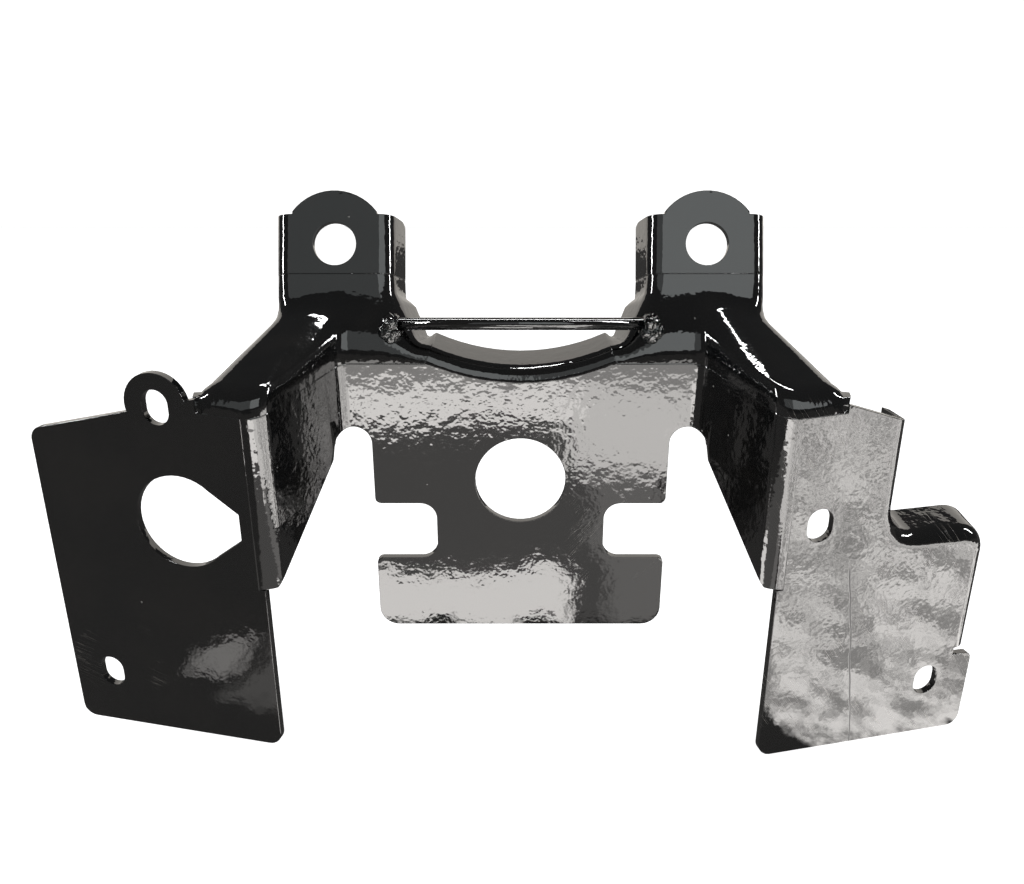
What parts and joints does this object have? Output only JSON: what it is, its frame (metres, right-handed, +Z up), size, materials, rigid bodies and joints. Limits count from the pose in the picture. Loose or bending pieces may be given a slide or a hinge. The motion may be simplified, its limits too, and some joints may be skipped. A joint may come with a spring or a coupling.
{
  "type": "motorcycle gauge bracket",
  "caption": "Folded black sheet-steel bracket that holds a motorcycle's gauges: centre plate, splayed wings, drilled lugs and a welded brace rod.",
  "frame": {"origin": "centre of the middle hole, on the front face of the centre plate", "axes": "+X to the right along the bracket's width, +Y to the back through the middle hole, +Z up"},
  "size_m": [0.2284, 0.0471, 0.1334],
  "materials": {
    "paint": "gloss black paint over pressed steel, with fine scratches and specks"
  },
  "bodies": {
    "root": {"bracket_sheet": "paint", "brace_rod": "paint", "weld_left": "paint", "weld_right": "paint"}
  },
  "joints": []
}
